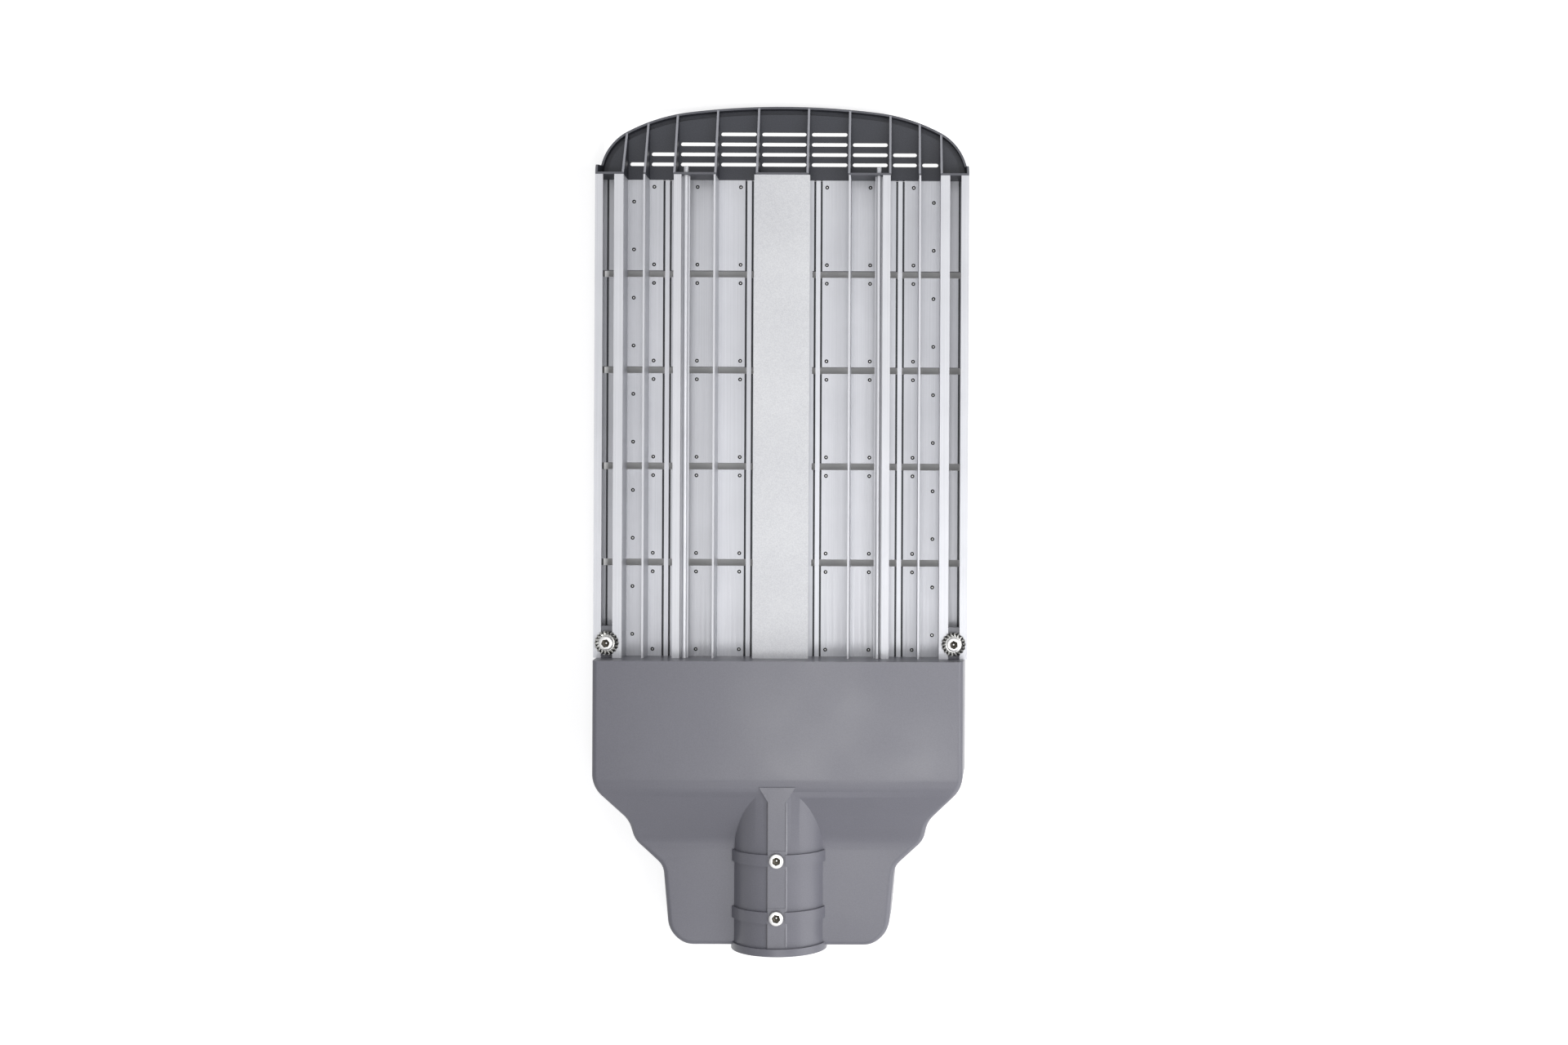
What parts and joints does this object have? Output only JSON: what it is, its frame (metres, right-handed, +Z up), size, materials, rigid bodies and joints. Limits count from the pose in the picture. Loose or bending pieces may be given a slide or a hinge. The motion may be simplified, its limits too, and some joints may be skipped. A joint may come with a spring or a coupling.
{
  "type": "led street light head",
  "caption": "Slim LED street light head with finned aluminium heat sinks, lens modules, a slotted end cap and a cast pole socket.",
  "frame": {"origin": "centre of the pole socket's mouth", "axes": "+Y from the pole socket to the front cap, +Z up from the lenses to the fins, +X to the right"},
  "size_m": [0.306, 0.6927, 0.0752],
  "materials": {
    "cap_casting": "satin",
    "housing_casting": "satin",
    "extruded_aluminium": "satin",
    "steel_strip": "satin",
    "stainless": "polished",
    "rubber": "matte",
    "driver_case": "satin",
    "terminal_plastic": "matte",
    "lens_plastic": "gloss",
    "circuit_board": "matte"
  },
  "bodies": {
    "root": {"front_end_cap": "cap_casting", "heat_sink_left": "extruded_aluminium", "heat_sink_right": "extruded_aluminium", "duct_cover": "extruded_aluminium", "inner_strip_left": "steel_strip", "inner_strip_right": "steel_strip", "outer_strip_left": "steel_strip", "outer_strip_right": "steel_strip", "tie_rod_left": "steel_strip", "tie_rod_right": "steel_strip", "tie_rod_nuts": "steel_strip", "driver_screws": "steel_strip", "driver_cover_screws": "steel_strip", "driver_housing": "housing_casting", "driver_cover": "housing_casting", "driver_cover_gasket": "rubber", "module_seals": "rubber", "led_driver": "driver_case", "terminal_block": "terminal_plastic", "surge_protector": "terminal_plastic", "cable_gland": "terminal_plastic", "pole_clamp_screws": "stainless", "housing_screws": "stainless", "star_washers": "stainless", "lens_plate_left_1": "lens_plastic", "led_board_left_1": "circuit_board", "lens_plate_left_2": "lens_plastic", "led_board_left_2": "circuit_board", "lens_plate_left_3": "lens_plastic", "led_board_left_3": "circuit_board", "lens_plate_left_4": "lens_plastic", "led_board_left_4": "circuit_board", "lens_plate_left_5": "lens_plastic", "led_board_left_5": "circuit_board", "lens_plate_right_1": "lens_plastic", "led_board_right_1": "circuit_board", "lens_plate_right_2": "lens_plastic", "led_board_right_2": "circuit_board", "lens_plate_right_3": "lens_plastic", "led_board_right_3": "circuit_board", "lens_plate_right_4": "lens_plastic", "led_board_right_4": "circuit_board", "lens_plate_right_5": "lens_plastic", "led_board_right_5": "circuit_board"}
  },
  "joints": []
}
